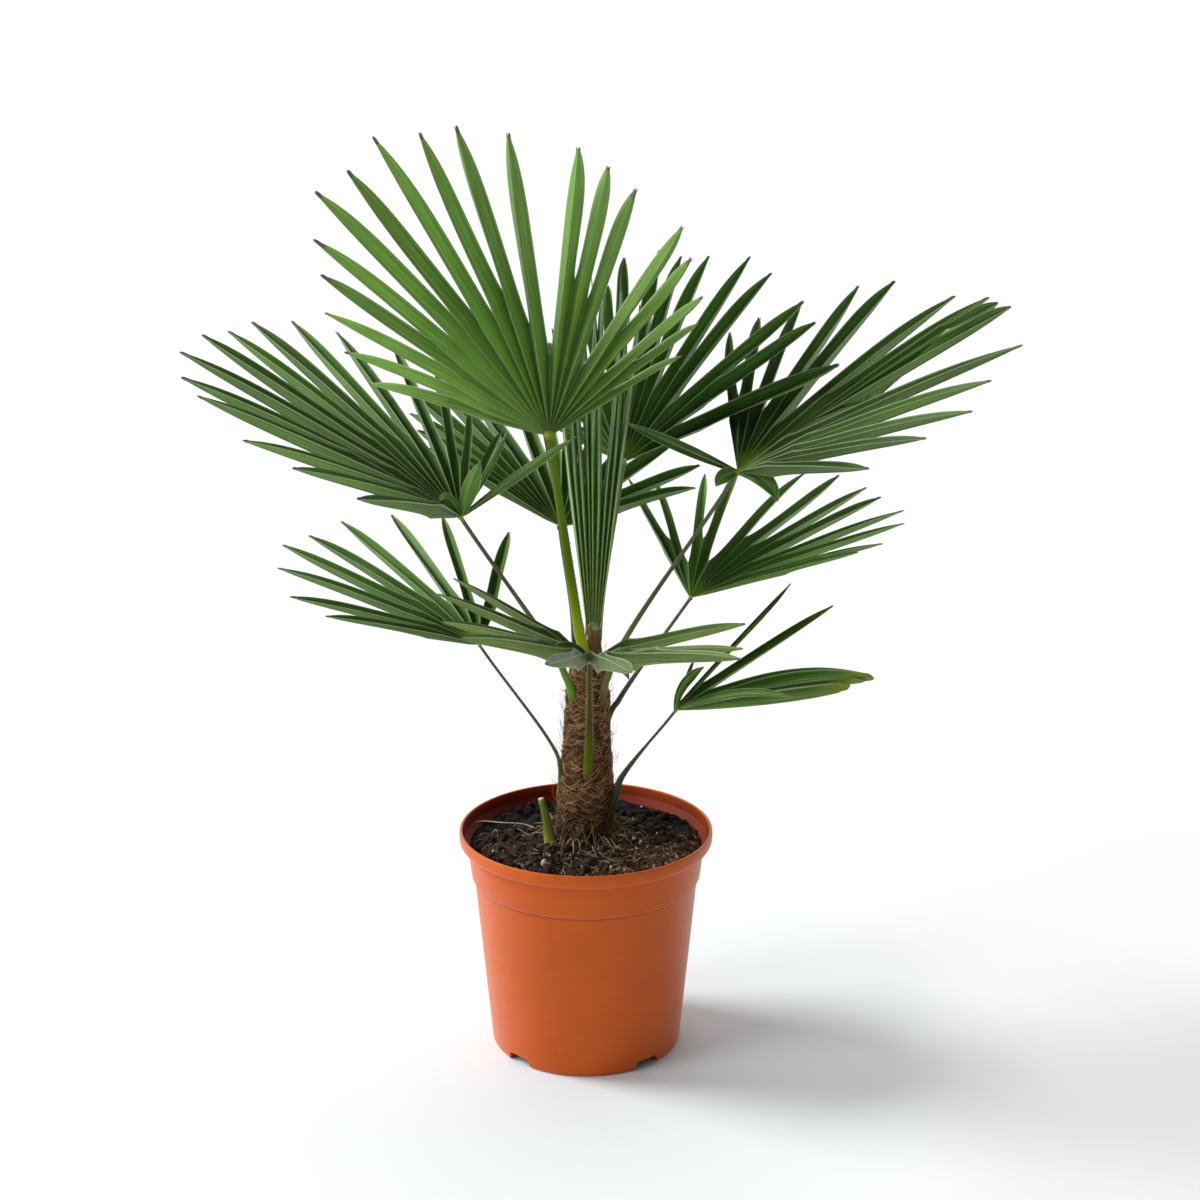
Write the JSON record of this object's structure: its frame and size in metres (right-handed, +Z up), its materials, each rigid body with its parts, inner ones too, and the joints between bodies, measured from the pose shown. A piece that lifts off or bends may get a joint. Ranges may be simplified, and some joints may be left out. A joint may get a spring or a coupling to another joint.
{
  "type": "potted windmill palm",
  "caption": "Young fan palm with a fibre-wrapped trunk, long-stalked fan leaves and a closed spear leaf, rooted in soil in a tapered round nursery pot.",
  "frame": {"origin": "centre of the pot's flat underside, on the central foot pad", "axes": "+Z up along the trunk, -Y towards the front of the plant, +X to the right as seen from the front"},
  "size_m": [0.7221, 0.566, 0.8801],
  "materials": {
    "pot": "terracotta-coloured moulded plastic, satin",
    "soil": "dark peat and bark potting mix, rough",
    "trunk": "brown fibre-wrapped trunk, rough",
    "petiole": "green leaf stalks, satin",
    "frond": "dark green pleated leaves, semi-gloss"
  },
  "bodies": {
    "root": {"pot": "pot", "soil": "soil", "trunk": "trunk", "cut_stub": "petiole", "spear_stem": "petiole", "petiole_front_high": "petiole", "petiole_left_high": "petiole", "petiole_left_low": "petiole", "petiole_front_low": "petiole", "petiole_right_high": "petiole", "petiole_right_middle": "petiole", "petiole_right_low": "petiole", "petiole_back_right": "petiole", "petiole_back_left": "petiole", "spear_blade": "frond", "frond_front_high": "frond", "frond_left_high": "frond", "frond_left_low": "frond", "frond_front_low": "frond", "frond_right_high": "frond", "frond_right_middle": "frond", "frond_right_low": "frond", "frond_back_right": "frond", "frond_back_left": "frond"}
  },
  "joints": []
}
